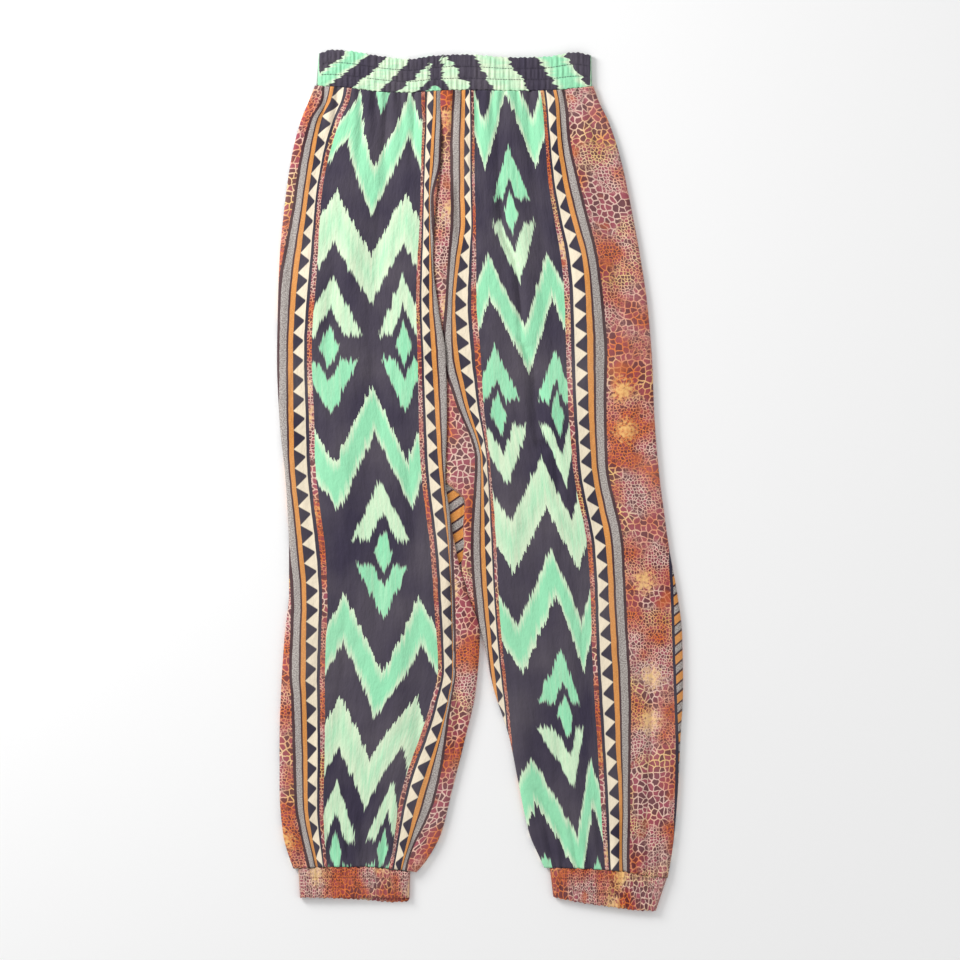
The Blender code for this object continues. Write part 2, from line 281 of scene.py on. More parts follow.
LEFT_CREASES = [
    # under the waistband
    Crease(-33, 50, -34, 120, 1, 5, -1.8, 0.6),
    Crease(-18, 49, -14, 92, -1, 5, -1.3, 0.3),
    Crease(-4, 48, -6, 140, 2, 6, -1.6, 0.4),
    Crease(11, 48, 14, 98, 1, 5, -1.4, 0.4),
    Crease(26, 47, 23, 165, -3, 6, -2.0, 0.6),
    Crease(43, 48, 49, 110, 1, 5, -1.3, 0.3),
    Crease(57, 48, 62, 150, -2, 6, -1.8, 0.5),
    Crease(73, 48, 79, 96, 1, 5, -1.5, 0.4),
    Crease(88, 47, 101, 160, 3, 6, -1.8, 0.5),
    Crease(104, 46, 117, 122, -1, 5, -1.4, 0.3),
    Crease(118, 45, 134, 106, 1, 5, -1.5, 0.4),
    # the long fold down the column
    Crease(23, 164, 26, 216, 0, 6, -4.2, 0.9),
    Crease(26, 214, 41, 248, 1, 6, -4.6, 1.0),
    Crease(41, 246, 47, 338, 2, 5, -3.6, 0.8),
    Crease(47, 338, 62, 373, 1, 6, -4.4, 0.9),
    Crease(62, 373, 67, 460, -1, 7, -4.8, 0.9),
    Crease(67, 456, 84, 466, 1, 6, -4.2, 0.9),
    Crease(84, 464, 92, 530, 1, 6, -3.6, 0.7),
    Crease(38, 170, 58, 330, 4, 13, 1.8, 0.0),
    Crease(74, 360, 88, 560, 5, 13, 1.6, 0.0),
    # between the leopard stripe and the column, near the centre
    Crease(-27, 158, -25, 224, 1, 5, -3.4, 0.9),
    Crease(-43, 346, -40, 410, 1, 4, -2.4, 0.7),
    # down the leg
    Crease(112, 210, 128, 380, 5, 14, 1.3, 0.0),
    Crease(150, 160, 165, 330, 4, 9, -1.3, 0.2),
    Crease(168, 300, 176, 470, -4, 12, 1.3, 0.0),
    Crease(128, 420, 140, 590, 5, 10, -1.3, 0.2),
    Crease(184, 420, 190, 560, -3, 8, -1.2, 0.3),
    Crease(30, 470, 36, 640, 4, 12, 1.3, 0.0),
    Crease(60, 560, 68, 700, 4, 9, -1.3, 0.2),
    Crease(100, 600, 112, 760, -5, 12, 1.3, 0.0),
    Crease(66, 861, 108, 936, 3, 6, -2.6, 0.8),
    Crease(181, 712, 199, 760, 1, 6, -1.8, 0.5),
    Crease(199, 690, 192, 918, 3, 5, -2.4, 0.6),
    Crease(46, 700, 56, 850, -4, 10, 1.2, 0.0),
    Crease(84, 740, 92, 860, 4, 9, -1.4, 0.2),
    # above the cuff
    Crease(90, 951, 74, 890, 2, 5, -1.6, 0.5),
    Crease(101, 951, 90, 905, -1, 4, -1.4, 0.4),
    Crease(114, 951, 104, 872, 2, 5, -2.0, 0.7),
    Crease(127, 952, 122, 900, 1, 4, -1.4, 0.4),
    Crease(140, 953, 134, 872, -2, 5, -1.8, 0.5),
    Crease(153, 954, 150, 902, 1, 4, -1.5, 0.4),
    Crease(166, 956, 166, 880, 2, 5, -1.9, 0.6),
    Crease(180, 958, 181, 906, -1, 4, -1.5, 0.4),
    Crease(193, 960, 197, 884, 1, 5, -1.7, 0.5),
    Crease(206, 961, 211, 912, 0, 4, -1.4, 0.4),
]


def column(table, name, at, key="drop"):
    """A table's column at a place between its rows, on a smooth curve that doesn't overshoot."""
    xs = np.array([getattr(row, key) for row in table], float)
    ys = np.array([getattr(row, name) for row in table], float)
    at = np.clip(at, xs[0], xs[-1])
    slopes = np.diff(ys) / np.diff(xs)
    same_way = slopes[1:] * slopes[:-1] > 0
    total = np.where(same_way, slopes[1:] + slopes[:-1], 1)
    middle = np.where(same_way, 2 * slopes[1:] * slopes[:-1] / total, 0)
    tangents = np.concatenate([[slopes[0]], middle, [slopes[-1]]])
    i = np.clip(np.searchsorted(xs, at) - 1, 0, len(xs) - 2)
    step = xs[i + 1] - xs[i]
    t = (at - xs[i]) / step
    rise = ys[i + 1] - ys[i]
    start, end = tangents[i] * step, tangents[i + 1] * step
    return ys[i] + t * (start + t * ((3 * rise - 2 * start - end) + t * (start + end - 2 * rise)))


def smooth(low, high, at):
    t = np.clip((at - low) / (high - low), 0, 1)
    return t * t * (3 - 2 * t)


def crease_height(crease, x, drop):
    """What one crease adds to the height of a panel: a soft trough or ridge with tapered ends."""
    run, fall = crease.x1 - crease.x0, crease.drop1 - crease.drop0
    length = math.hypot(run, fall)
    along = ((x - crease.x0) * run + (drop - crease.drop0) * fall) / length**2
    across = ((x - crease.x0) * fall - (drop - crease.drop0) * run) / length
    t = np.clip(along, 0, 1)
    across = across - crease.bend * 4 * t * (1 - t)
    past = (along - t) * length
    away = np.hypot(across, past) / crease.reach
    ends = 0.35 + 0.65 * smooth(0, 0.3, t) * smooth(1, 0.55, t)
    soft = np.exp(-(away**2))
    keen = np.exp(-((away * 2.6) ** 2))
    return crease.rise * ends * ((1 - 0.5 * crease.sharp) * soft + 0.5 * crease.sharp * keen)


def crumple(x, drop, seed):
    """A low, uneven rumpling of laid cloth, in millimetres of height."""
    rng = np.random.default_rng(seed)
    total = np.zeros_like(x)
    for wave, height in ((95, 0.55), (60, 0.4), (38, 0.26), (24, 0.16), (15, 0.1)):
        for _ in range(5):
            turn = rng.normal(0, 0.42)
            phase, bend = rng.uniform(0, 2 * math.pi, 2)
            across = x * math.cos(turn) + drop * math.sin(turn) * 0.45
            across = across + 7 * np.sin(drop / 70 + bend)
            total += height / 5**0.5 * np.sin(2 * math.pi * across / wave + phase) * (
                0.55 + 0.45 * np.sin(drop / (wave * 1.7) + bend * 3)
            )
    return total


def gathers(x, distance, pitch, seed):
    """Fine puckers that run into a seam and fade with distance from it, in millimetres of height."""
    rng = np.random.default_rng(seed)
    phases = rng.uniform(0, 2 * math.pi, 4)
    sway = 1.6 * np.sin(x / 19 + phases[0]) + 1.1 * np.sin(x / 11 + phases[1])
    fine = np.sin(2 * math.pi * (x + sway) / pitch + phases[2])
    coarse = np.sin(2 * math.pi * (x + 2 * sway) / (pitch * 2.3) + phases[3])
    return 0.5 * fine * np.exp(-distance / 9) + 0.75 * coarse * np.exp(-distance / 24)


def print_places(tracks, x, drop):
    """u of the print at points of a front panel, from the table of its stripes."""
    edges = np.stack([column(tracks, name, drop) for name in "abcmdef"])
    past = 1 + 0.14 * smooth(520, 600, drop)  # soft folds draw the outermost stripe in, lower down
    u = np.where(x < edges[0], TRACK_EDGES[0] + (x - edges[0]), TRACK_EDGES[-1] + (x - edges[-1]) * past)
    for i in range(len(edges) - 1):
        share = (x - edges[i]) / (edges[i + 1] - edges[i])
        inside = (x >= edges[i]) & (x < edges[i + 1])
        u = np.where(inside, TRACK_EDGES[i] + share * (TRACK_EDGES[i + 1] - TRACK_EDGES[i]), u)
    return u


# ---- meshes --------------------------------------------------------------------------------------------


def world(x, drop, z):
    """Metres in the frame, from millimetres on the pants."""
    return np.stack([x * MM * SCALE, TOP - drop * MM * SCALE, z * MM * SCALE], axis=-1)


def grid_mesh(name, points, u, w, ring=False, flip=False):
    """A mesh of quads on rows of points, with the print's places as its UV map."""
    rows, columns = points.shape[:2]
    i, j = np.meshgrid(np.arange(rows - 1), np.arange(columns if ring else columns - 1), indexing="ij")
    i, j = i.ravel(), j.ravel()
    following = (j + 1) % columns
    here, below = i * columns, (i + 1) * columns
    quads = np.stack([here + j, below + j, below + following, here + following], 1)
    around = ((i, j), (i + 1, j), (i + 1, j + 1), (i, j + 1))
    corners = np.stack([np.stack(corner, 1) for corner in around], 1)
    if flip:
        quads, corners = quads[:, ::-1], corners[:, ::-1]
    mesh = bpy.data.meshes.new(name)
    mesh.from_pydata(points.reshape(-1, 3), [], quads.tolist())
    places = mesh.uv_layers.new(name="print")
    row, col = corners[:, :, 0].ravel(), corners[:, :, 1].ravel()
    uv = np.stack([u[row, col], w[row, col]], axis=1) * MM
    places.data.foreach_set("uv", uv.ravel())
    mesh.shade_smooth()
    mesh.update()
    piece = bpy.data.objects.new(name, mesh)
    bpy.context.scene.collection.objects.link(piece)
    return piece


def give_wall(piece, wall):
    """Cloth thickness, behind the side that the piece's faces turn to."""
    modifier = piece.modifiers.new("wall", "SOLIDIFY")
    modifier.thickness = wall * MM
    modifier.offset = -1
    modifier.use_rim = True


def leg_grid(leg, rows, columns, crowded):
    """Shares across a leg and rows down it: x, drop and share arrays between its seams."""
    cuff = RIGHT_CUFF_EDGES if leg == "right" else LEFT_CUFF_EDGES
    even = np.linspace(0, 1, columns)
    share = even - crowded * np.sin(2 * math.pi * even) / (2 * math.pi)
    t = np.linspace(0, 1, rows)
    share, t = np.meshgrid(share, t)
    nominal = 48 + t * (column(cuff, "upper", 0.5, "share") - 48)
    inner, outer = column(SECTIONS, f"{leg}_in", nominal), column(SECTIONS, f"{leg}_out", nominal)
    x = inner + share * (outer - inner)
    waist_share = (x - WAIST_ENDS.right_lower) / (WAIST_ENDS.left_lower - WAIST_ENDS.right_lower)
    upper = column(WAIST_EDGES, "lower", waist_share, "share") + 0.2
    lower = column(cuff, "upper", 1 - share if leg == "right" else share, "share") - 0.2
    drop = upper + t * (lower - upper)
    inner, outer = column(SECTIONS, f"{leg}_in", drop), column(SECTIONS, f"{leg}_out", drop)
    return inner + share * (outer - inner), drop, share, inner, outer, upper, lower


def rounded(distance, reach):
    """0 at an edge, rising to 1 at reach on a quarter circle."""
    return np.sqrt(np.clip(1 - (1 - np.clip(distance / reach, 0, 1)) ** 2, 0, 1))


def turned_edge(from_in, drop):
    """How much of the back panel shows beside the turned-back edge, 0 to 1, and the ridge along the turn."""
    width = TURN_WIDTH - TURN_NARROWING * smooth(530, 622, drop) + 1.5 * np.sin(drop / 9)
    shown = smooth(0, 1.6, width - from_in) * smooth(0, 3, drop - TURN_TOP - 0.95 * from_in)
    shown = shown * smooth(TURN_END, 612, drop)
    ridge = TURN_RIDGE * np.exp(-(((from_in - width - 3) / 3.5) ** 2))
    return shown, ridge * smooth(500, 530, drop) * smooth(640, 600, drop)


def front_panel(leg):
    x, drop, share, inner, outer, upper, lower = leg_grid(leg, *FRONT_GRID)
    closed = column(SECTIONS, "closed", drop)
    rim_in = CENTRE_RISE + (SEAM_RISE - CENTRE_RISE) * closed
    from_in, from_out = np.abs(x - inner), np.abs(x - outer)
    round_in, round_out = rounded(from_in, EDGE_ROUND), rounded(from_out, EDGE_ROUND)
    z = LEG_RISE - (LEG_RISE - rim_in) * (1 - round_in) - (LEG_RISE - SEAM_RISE) * (1 - round_out)
    away = np.clip(np.minimum(from_in, from_out) / FRONT_FADE, 0, 1)
    relief = crumple(x, drop, 4 if leg == "right" else 9)
    for crease in RIGHT_CREASES if leg == "right" else LEFT_CREASES:
        relief += crease_height(crease, x, drop)
    relief += gathers(x, drop - upper, 7.5, 21) + gathers(x, lower - drop, 7.0, 22)
    z = z + FRONT_RELIEF * relief * away
    # The right leg's panel lies over the left one above the crotch.
    lap = smooth(60, 110, drop) * smooth(690, 640, drop)
    if leg == "right":
        z += 2.2 * lap * np.exp(-((from_in / 10) ** 2))
        x = x + 1.2 * lap * np.exp(-from_in / 3)
    else:
        z -= 2.4 * lap * np.exp(-((from_in / 5) ** 2))
    u = print_places(RIGHT_TRACKS if leg == "right" else LEFT_TRACKS, x, drop)
    w = RIGHT_START + drop if leg == "right" else LEFT_START - drop
    u = u + 0.9 * np.sin(drop / 31) * np.sin(x / 23)
    w = w + 2.2 * np.sin(x / 37 + 1) * np.sin(drop / 83)
    if leg == "left":
        shown, ridge = turned_edge(from_in, drop)
        z += ridge
        z -= TURN_DEPTH * shown
        u = np.where(shown > 0.5, SIDE_EDGE + 1 + from_in * 0.8, -u)
    z = np.maximum(z, LOWEST_FRONT)
    piece = grid_mesh(f"{leg}_front_cloth", world(x, drop, z), u, w, flip=leg == "left")
    give_wall(piece, WALL)
    return piece


def back_panel(leg):
    x, drop, share, inner, outer, upper, lower = leg_grid(leg, *BACK_GRID)
    closed = column(SECTIONS, "closed", drop)
    from_in, from_out = np.abs(x - inner), np.abs(x - outer)
    lift_in = SEAM_RISE * closed * (1 - rounded(from_in, BACK_ROUND))
    lift_out = SEAM_RISE * (1 - rounded(from_out, BACK_ROUND))
    z = np.maximum(lift_in, lift_out)
    away = np.clip(np.minimum(from_in, from_out) / BACK_FADE, 0, 1)
    dents = crumple(x, drop, 15 if leg == "right" else 17) + 0.8 * gathers(x, drop - upper, 8, 25)
    dents += 0.8 * gathers(x, lower - drop, 8, 26)
    z = z + np.clip(dents - 0.25, 0, 0.9) * away
    middle = (inner + outer) / 2
    u = (x - middle) * 1.02
    w = 300 + (drop if leg == "right" else -drop)
    piece = grid_mesh(f"{leg}_back_cloth", world(x, drop, z), u, w, flip=leg == "right")
    give_wall(piece, WALL)
    return piece


def band(name, edges, ends, pitch, seed, ring_columns, places):
    """A band gathered on elastic: a flattened ring with puckers between its rows of stitches."""
    half = BAND_RISE / 2
    turn = np.linspace(0, math.pi, 9)
    across = np.linspace(0, 1, ring_columns)[1:-1]
    face_front = [(s, 0, 1.0) for s in across]
    left_end = [(1, np.sin(a), 0.5 + 0.5 * np.cos(a)) for a in turn]
    face_back = [(s, 0, 0.0) for s in across[::-1]]
    right_end = [(0, -np.sin(a), 0.5 - 0.5 * np.cos(a)) for a in turn]
    ring = np.array(face_front + left_end + face_back + right_end)
    t = np.linspace(0, 1, BAND_ROWS)
    share, t = np.meshgrid(ring[:, 0], t)
    bulge, face = np.meshgrid(ring[:, 1], t[:, 0])[0], np.meshgrid(ring[:, 2], t[:, 0])[0]
    right = ends.right_upper + t * (ends.right_lower - ends.right_upper) + half
    left = ends.left_upper + t * (ends.left_lower - ends.left_upper) - half
    x = right + share * (left - right) + bulge * half
    at = np.clip((x - right + half) / (left - right + 2 * half), 0, 1)
    upper = face * column(edges, "upper", at, "share") + (1 - face) * column(edges, "back_upper", at, "share")
    lower = face * column(edges, "lower", at, "share") + (1 - face) * column(edges, "back_lower", at, "share")
    rng = np.random.default_rng(seed)
    phases = rng.uniform(0, 2 * math.pi, 8)
    channel = np.minimum(np.floor(t * 3), 2)
    puff = np.abs(np.sin(3 * math.pi * t)) ** 0.55
    ridge = np.zeros_like(x)
    for number in range(3):
        sway = 1.3 * np.sin(x / 9 + phases[number]) + 1.0 * np.sin(x / 5.3 + phases[number + 3])
        wave = np.sin(2 * math.pi * (x + sway) / pitch + phases[number] * 0.5)
        wave += 0.5 * np.sin(2 * math.pi * (x - sway) / (pitch * 0.57) + phases[number + 2])
        ridge = np.where(channel == number, wave, ridge)
    long_ridge = np.sin(2 * math.pi * (x + 1.5 * np.sin(x / 13 + phases[7])) / (pitch * 1.4))
    height = 0.55 * puff * (0.9 + 0.75 * ridge) + 0.3 * long_ridge
    outward = face * 2 - 1
    z = half + half * outward + height * outward * smooth(0, 0.06, np.minimum(share, 1 - share) + 0.02)
    z = np.where(face == 0, np.maximum(z, 0.0) + np.clip(height * 0.4 - 0.1, 0, 0.5), z)
    drop = upper + t * (lower - upper)
    edge_wave = 0.5 * np.sin(2 * math.pi * x / pitch + phases[6]) + 0.3 * np.sin(x / 2.1)
    drop = drop + edge_wave * smooth(0.12, 0, np.minimum(t, 1 - t))
    closing = np.concatenate([np.arange(x.shape[1]), [0]])
    u, w = places(x[:, closing], drop[:, closing], face[:, closing])
    piece = grid_mesh(name, world(x, drop, np.clip(z, 0, None)), u, w, ring=True)
    give_wall(piece, WALL)
    return piece


# ---- shader maths --------------------------------------------------------------------------------------


class Value:
    """A number in a shader: arithmetic on it adds Math nodes."""

    def __init__(self, shader, socket):
        self.shader = shader
        self.socket = socket

    def math(self, operation, *others):
        node = self.shader.nodes.new("ShaderNodeMath")
        node.operation = operation
        for number, item in enumerate((self, *others)):
            self.shader.feed(node.inputs[number], item)
        return Value(self.shader, node.outputs[0])

    def __add__(self, other):
        return self.math("ADD", other)

    def __radd__(self, other):
        return self.math("ADD", other)

    def __mul__(self, other):
        return self.math("MULTIPLY", other)

    def __rmul__(self, other):
        return self.math("MULTIPLY", other)

    def __sub__(self, other):
        return self.math("SUBTRACT", other)

    def __rsub__(self, other):
        return self.math("MULTIPLY", -1.0).math("ADD", other)

    def __truediv__(self, other):
        return self.math("DIVIDE", other)

    def __gt__(self, other):
        return self.math("GREATER_THAN", other)

    def size(self):
        return self.math("ABSOLUTE")

    def least(self, other):
        return self.math("MINIMUM", other)

    def most(self, other):
        return self.math("MAXIMUM", other)

    def held(self):
        """Kept between 0 and 1."""
        return self.math("MAXIMUM", 0.0).math("MINIMUM", 1.0)

    def repeat(self, length):
        return self.math("WRAP", length, 0.0)

    def below(self, edge, soft):
        """1 well below the edge, 0 well above it."""
        return ((edge - self) / (2 * soft) + 0.5).held()

    def above(self, edge, soft):
        """1 well above the edge, 0 well below it."""
        return (-1.0 * self).below(-edge, soft)


class Shader:
    """A material's node tree, with calls to add nodes and to join them."""

    def __init__(self, name):
        self.material = bpy.data.materials.new(name)
        self.material.use_nodes = True
        self.nodes = self.material.node_tree.nodes
        self.links = self.material.node_tree.links
        self.surface = self.nodes["Principled BSDF"]

    def feed(self, socket, item):
        if isinstance(item, Value):
            self.links.new(item.socket, socket)
        elif isinstance(item, bpy.types.NodeSocket):
            self.links.new(item, socket)
        else:
            socket.default_value = item

    def node(self, kind, settings=None, **inputs):
        """Adds a node, with its settings first and then its sockets, by name or position."""
        node = self.nodes.new(kind)
        for name, value in (settings or {}).items():
            setattr(node, name, value)
        for name, item in inputs.items():
            self.feed(node.inputs[int(name) if name.isdigit() else name], item)
        return node

    def value(self, socket):
        return Value(self, socket)

    def mix(self, factor, low, high):
        """A colour between two, as factor goes from 0 to 1."""
        node = self.nodes.new("ShaderNodeMix")
        node.data_type = "RGBA"
        self.feed(node.inputs[0], factor)
        self.feed(node.inputs[6], low)
        self.feed(node.inputs[7], high)
        return node.outputs[2]

    def point(self, x, y, z=0.0):
        return self.node("ShaderNodeCombineXYZ", X=x, Y=y, Z=z).outputs[0]

    def noise(self, place, scale, detail=2.0, roughness=0.5):
        node = self.node("ShaderNodeTexNoise", {"noise_dimensions": "3D"}, Vector=place, Scale=scale)
        node.inputs["Detail"].default_value = detail
        node.inputs["Roughness"].default_value = roughness
        return self.value(node.outputs["Fac"])

    def moved(self, place, step):
        sockets = {"0": place, "1": (step, step, 0)}
        return self.node("ShaderNodeVectorMath", {"operation": "ADD"}, **sockets).outputs[0]

    def bent(self, place, scale, reach):
        """A place moved about by noise, so that cells on it aren't straight-sided."""
        node = self.node("ShaderNodeTexNoise", {"noise_dimensions": "2D"}, Vector=place, Scale=scale)
        swing = self.node(
            "ShaderNodeVectorMath",
            {"operation": "MULTIPLY_ADD"},
            **{"0": node.outputs["Color"], "1": (reach, reach, 0), "2": place},
        )
        return swing.outputs[0]

    def cell_edge(self, place, scale):
        """Distance to the nearest border between cells."""
        settings = {"feature": "DISTANCE_TO_EDGE", "voronoi_dimensions": "2D"}
        node = self.node("ShaderNodeTexVoronoi", settings, Vector=place, Scale=scale)
        node.inputs["Randomness"].default_value = CELL_SCATTER
        return self.value(node.outputs["Distance"])

    def cells(self, place, scale):
        """Distance to the nearest of scattered points, and two random numbers for each."""
        settings = {"feature": "F1", "voronoi_dimensions": "2D"}
        node = self.node("ShaderNodeTexVoronoi", settings, Vector=place, Scale=scale)
        node.inputs["Randomness"].default_value = CELL_SCATTER
        split = self.node("ShaderNodeSeparateColor", Color=node.outputs["Color"])
        return tuple(self.value(socket) for socket in (node.outputs["Distance"], *split.outputs[:2]))


def tint(red, green, blue):
    """A colour given as it looks on a screen, from 0 to 255, as linear light."""
    linear = [((c / 255 + 0.055) / 1.055) ** 2.4 if c > 10.3 else c / 255 / 12.92 for c in (red, green, blue)]
    return (*linear, 1.0)


CELL_SCATTER = 0.85
LARGE_SPOTS = 146.0  # spots to a metre
SMALL_SPOTS = 268.0
NAVY = tint(47, 41, 59)
NAVY_LIGHT = tint(60, 53, 73)
MINT = tint(146, 222, 176)
PALE = tint(214, 234, 200)
CREAM = tint(236, 222, 196)
OCHRE = tint(212, 140, 70)
GREY = tint(186, 180, 174)
BROWN = tint(66, 38, 44)
MAROON = tint(88, 22, 44)
PLUM = tint(146, 52, 76)
RUST = tint(150, 62, 34)
RUST_GLOW = tint(196, 96, 40)
PINKISH = tint(226, 190, 174)
YELLOWISH = tint(238, 196, 122)
ORANGE = tint(218, 116, 52)


def leopard(shader, place):
    """Animal spots, large in some places and small in others, on a ground of three drifting colours."""
    drift = shader.noise(place, 15.0, 2.0)
    warm = shader.noise(shader.moved(place, 3.1), 17.0, 2.0)
    ground = shader.mix(((drift - 0.5) * 6.0).held(), PINKISH, YELLOWISH)
    heat = ((warm - 0.43) * 6.0).held()
    ground = shader.mix(heat, ground, ORANGE)
    wobble = shader.noise(place, 260.0, 2.0)
    bent = shader.bent(place, 150.0, 0.0030)
    patch, patch_random, _ = shader.cells(place, 17.0)
    burst = patch.below(0.13 + (wobble - 0.5) * 0.9, 0.14) * (patch_random > 0.62)
    small_here = ((shader.noise(shader.moved(place, 7.7), 13.0, 1.0) - 0.46) * 14.0).held()
    large_edge = shader.cell_edge(bent, LARGE_SPOTS)
    _, large_random, large_other = shader.cells(bent, LARGE_SPOTS)
    small_edge = shader.cell_edge(bent, SMALL_SPOTS)
    _, small_random, small_other = shader.cells(bent, SMALL_SPOTS)
    large = (-1.0 * large_edge).below(-0.065 - large_random * 0.05, 0.035)
    small = (-1.0 * small_edge).below(-0.08 - small_random * 0.08, 0.05)
    spot = large * (1.0 - small_here) + small * small_here
    pick = large_other * (1.0 - small_here) + small_other * small_here
    ink = shader.mix(((pick - 0.5) * 5.0 + 0.5).held(), MAROON, PLUM)
    ink = shader.mix(heat * 0.5 * pick, ink, RUST)
    colour = shader.mix(spot * (1.0 - burst) * 0.93, ground, ink)
    glow = ((shader.noise(shader.moved(place, 11.3), 31.0, 2.0) - 0.6) * 8.0).held()
    colour = shader.mix(glow * 0.6, colour, RUST_GLOW)
    return shader.mix(burst * 0.75, colour, YELLOWISH)


def zigzag_column(shader, u, w, place):
    """The wide column: zigzag bands and lozenges on a dark ground, their edges feathered along the cloth."""
    thread = shader.noise(shader.point(u, w * 0.035), 520.0, 1.0)
    coarse = shader.noise(shader.point(u, w * 0.05), 190.0, 1.0)
    feathered = w + (thread - 0.5) * 0.023 + (coarse - 0.5) * 0.015
    w = feathered.repeat(REPEAT * MM)
    half = u.size()
    swing = 46.0 * MM
    # 0 at the column's middle, rising to swing and falling again towards its edge
    fold = half.least(2 * swing - half)
    slope = 1.93
    soft = 0.0016

    def chevron(middle_top, direction, thickness):
        """A band whose upper edge is at middle_top in the column's middle."""
        distance = (w - middle_top * MM - fold * (slope * direction)).repeat(REPEAT * MM)
        inside = distance.below(thickness * MM, soft)
        return inside, distance / (thickness * MM)

    def lozenge(across, middle):
        """A roof over and a cup under a diamond, each cut flat towards the other."""
        offset = (w - (middle - REPEAT / 2) * MM).repeat(REPEAT * MM) - REPEAT / 2 * MM
        roof_edge = offset + 0.0825 - across * slope
        roof = roof_edge.above(0.0, soft) * roof_edge.below(0.036, soft) * offset.below(-0.0128, soft)
        cup_edge = 0.0778 - across * slope - offset
        cup = cup_edge.above(0.0, soft) * cup_edge.below(0.037, soft) * offset.above(0.0163, soft)
        diamond = (across / 0.0116 + offset.size() / 0.0256).below(1.0, 0.08)
        return roof.most(cup).most(diamond), roof

    def heart(inside, at):
        """A band that fades from its middle line to both its edges."""
        return inside * (1.0 - ((at - 0.5) * 2.0).size())

    green_m, green_m_at = chevron(192.0, -1.0, 56.0)
    pale_m, pale_m_at = chevron(295.0, -0.82, 58.0)
    green_w, green_w_at = chevron(448.0, 1.0, 55.0)
    side, side_roof = lozenge((half - swing).size(), 402.0)
    middle, middle_roof = lozenge(half, 639.0)
    shapes = green_m.most(pale_m).most(green_w).most(side).most(middle)
    streak = shader.noise(shader.point(u, w * 0.06), 300.0, 2.0)
    lozenges = (side.most(middle) - side_roof.most(middle_roof) * 0.8) * 0.5
    centred = heart(green_m, green_m_at) + heart(green_w, green_w_at)
    centred = centred + heart(pale_m, pale_m_at) * 0.25 + lozenges
    green = (centred * 1.9 + (streak - 0.5) * 1.1).held()
    figure = shader.mix(green, PALE, MINT)
    ground = shader.mix(streak, NAVY, NAVY_LIGHT)
    return shader.mix(shapes, ground, figure)


def printed_cloth(name, all_leopard=False):
    """The printed viscose: every stripe of the print by its place, with a fine weave and a soft sheen."""
    shader = Shader(name)
    uv = shader.node("ShaderNodeUVMap", {"uv_map": "print"}).outputs[0]
    split = shader.node("ShaderNodeSeparateXYZ", Vector=uv)
    u, w = shader.value(split.outputs[0]), shader.value(split.outputs[1])
    place = shader.point(u, w)
    spots = leopard(shader, place)
    colour = spots
    if not all_leopard:
        wander = shader.noise(place, 60.0, 1.0)
        half = u.size() + (wander - 0.5) * 0.0012
        speckle = shader.noise(place, 760.0, 2.0)
        grey = shader.mix(((speckle - 0.46) * 5.0 + 0.3).held() * 0.62, GREY, BROWN)
        ochre = shader.mix(((speckle - 0.52) * 4.0).held(), OCHRE, tint(236, 178, 104))
        in_tooth = (half - NAVY_EDGE * MM) / ((SAW_EDGE - NAVY_EDGE) * MM)
        at = (w / (SAW_PITCH * MM)).repeat(1.0)
        left = 1.0 - in_tooth
        dark_tooth = (left * 0.39 - at).below(0.0, 0.03) * (at + left * 0.61).below(1.0, 0.03)
        dark_tooth = dark_tooth * (0.1 - in_tooth).below(0.0, 0.03)
        teeth = shader.mix(dark_tooth, CREAM, NAVY)
        rope_at = ((w - (half - SIDE_EDGE * MM) * 0.8) / (ROPE_PITCH * MM)).repeat(1.0)
        rope = shader.mix(rope_at > 0.36, grey, BROWN)
        rope = shader.mix(rope_at > 0.46, rope, ochre)
        rope = shader.mix(rope_at > 0.88, rope, BROWN)
        colour = zigzag_column(shader, u, w, place)
        stripes = (
            (IKAT_EDGE, spots),
            (SPOTS_EDGE, NAVY),
            (NAVY_EDGE, teeth),
            (SAW_EDGE, ochre),
            (OCHRE_EDGE - 0.9, BROWN),
            (BROWN_EDGE, grey),
            (GREY_EDGE, BROWN),
            (DARK_EDGE, spots),
            (LEOPARD_EDGE, NAVY),
            (SIDE_EDGE, rope),
            (SIDE_EDGE + 17, BROWN),
            (SIDE_EDGE + 19, spots),
        )
        for edge, look in stripes:
            colour = shader.mix(half.below(edge * MM, 0.0002), look, colour)
    fade = shader.noise(place, 9.0, 3.0)
    colour = shader.mix((fade - 0.35) * 0.22, colour, tint(226, 214, 204))
    weave = shader.noise(shader.point(u, w * 0.55), 2100.0, 2.0)
    creases = shader.noise(shader.point(u, w * 0.45), 42.0, 4.0, 0.62)
    height = weave * 0.00014 + creases * 0.0062
    bump = shader.node("ShaderNodeBump", Height=height)
    bump.inputs["Strength"].default_value = 0.55
    bump.inputs["Distance"].default_value = 1.0
    shader.feed(shader.surface.inputs["Base Color"], colour)
    shader.feed(shader.surface.inputs["Normal"], bump.outputs[0])
    shader.surface.inputs["Roughness"].default_value = 0.78
    shader.surface.inputs["Specular IOR Level"].default_value = 0.25
    shader.surface.inputs["Sheen Weight"].default_value = 0.08
    shader.surface.inputs["Sheen Roughness"].default_value = 0.5
    return shader.material


def plain(name, colour, roughness):
    shader = Shader(name)
    shader.surface.inputs["Base Color"].default_value = colour
    shader.surface.inputs["Roughness"].default_value = roughness
    return shader.material


# ---- stitches ------------------------------------------------------------------------------------------


